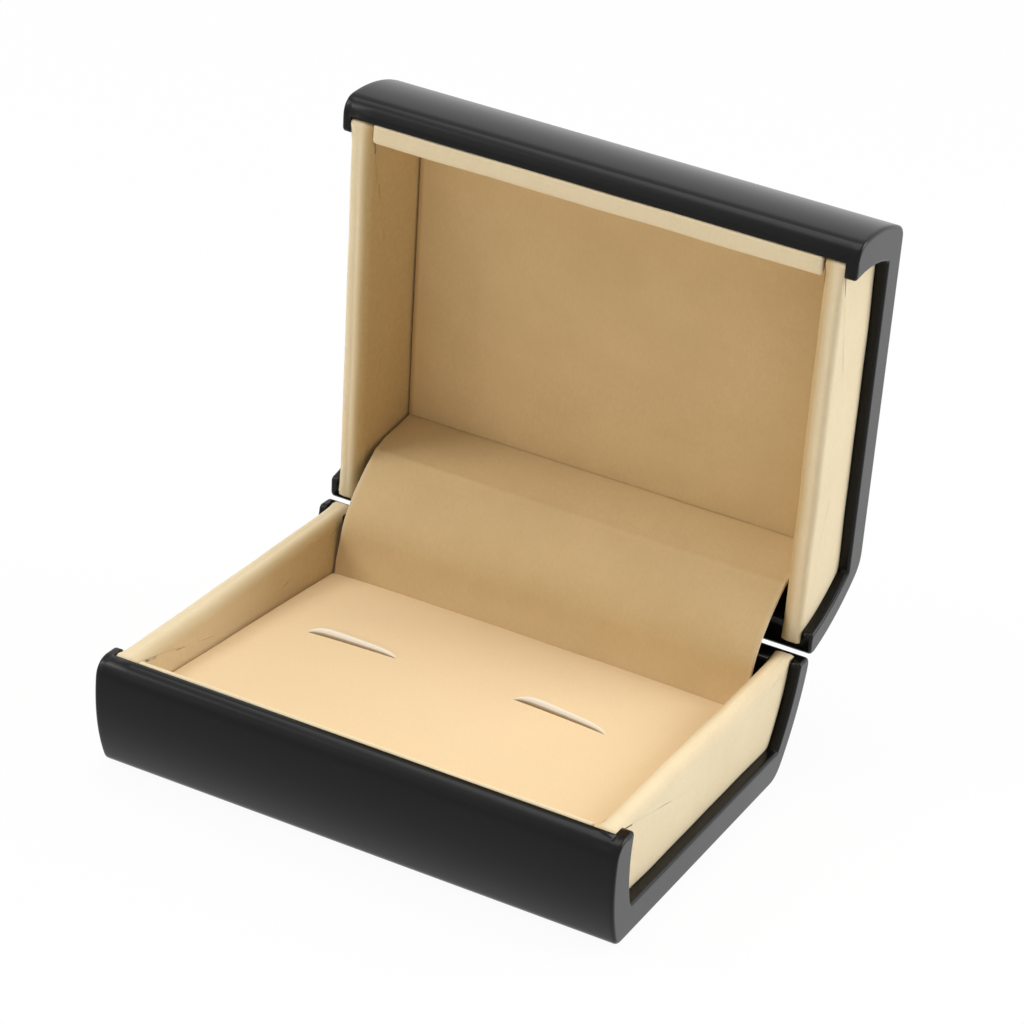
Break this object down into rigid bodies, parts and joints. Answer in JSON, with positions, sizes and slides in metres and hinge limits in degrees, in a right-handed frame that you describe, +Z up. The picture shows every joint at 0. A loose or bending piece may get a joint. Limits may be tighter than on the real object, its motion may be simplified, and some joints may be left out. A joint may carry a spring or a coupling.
{
  "type": "cufflink display box",
  "caption": "Open clamshell display box: flared black shells, fabric end panels, a padded insert with slots and a soft strip over the hinge.",
  "frame": {"origin": "on the table, in the middle of the flat footprint of the base", "axes": "+X to the box's right seen from the front, +Y from the front to the hinge, +Z up"},
  "size_m": [0.08, 0.086, 0.0871],
  "materials": {
    "black_lacquer": "satin black lacquer over dense board, smooth, no grain",
    "grey_board": "raw grey board, hidden inside the wrapped pieces",
    "beige_fabric": "beige suede-like cloth, short even nap",
    "pad_fabric": "peach-beige suede-like cloth over foam, smooth",
    "foam": "soft open foam, hidden",
    "nickel": "nickel-plated steel",
    "screw_nickel": "bright nickel plating"
  },
  "bodies": {
    "base": {"base_shell": "black_lacquer", "pad_board": "grey_board", "pad_foam": "foam", "pad_skin": "pad_fabric", "hinge_leaf_base": "nickel", "hinge_screws_base": "screw_nickel", "hinge_pin": "nickel", "hinge_cover": "beige_fabric", "base_end_board_left": "grey_board", "base_end_skin_left": "beige_fabric", "base_end_board_right": "grey_board", "base_end_skin_right": "beige_fabric", "base_front_liner_board": "grey_board", "base_front_liner_skin": "beige_fabric"},
    "lid": {"lid_shell": "black_lacquer", "lid_lining_board": "grey_board", "lid_lining_skin": "beige_fabric", "hinge_leaf_lid": "nickel", "hinge_screws_lid": "screw_nickel", "lid_end_board_left": "grey_board", "lid_end_skin_left": "beige_fabric", "lid_end_board_right": "grey_board", "lid_end_skin_right": "beige_fabric", "lid_front_liner_board": "grey_board", "lid_front_liner_skin": "beige_fabric"}
  },
  "joints": [
    {"name": "lid_hinge", "type": "hinge", "parent": "base", "child": "lid", "pos_m": [0, 0.034, 0.0188], "axis": [1, 0, 0], "range_deg": [0, 79], "deforming": ["hinge_cover"]}
  ]
}
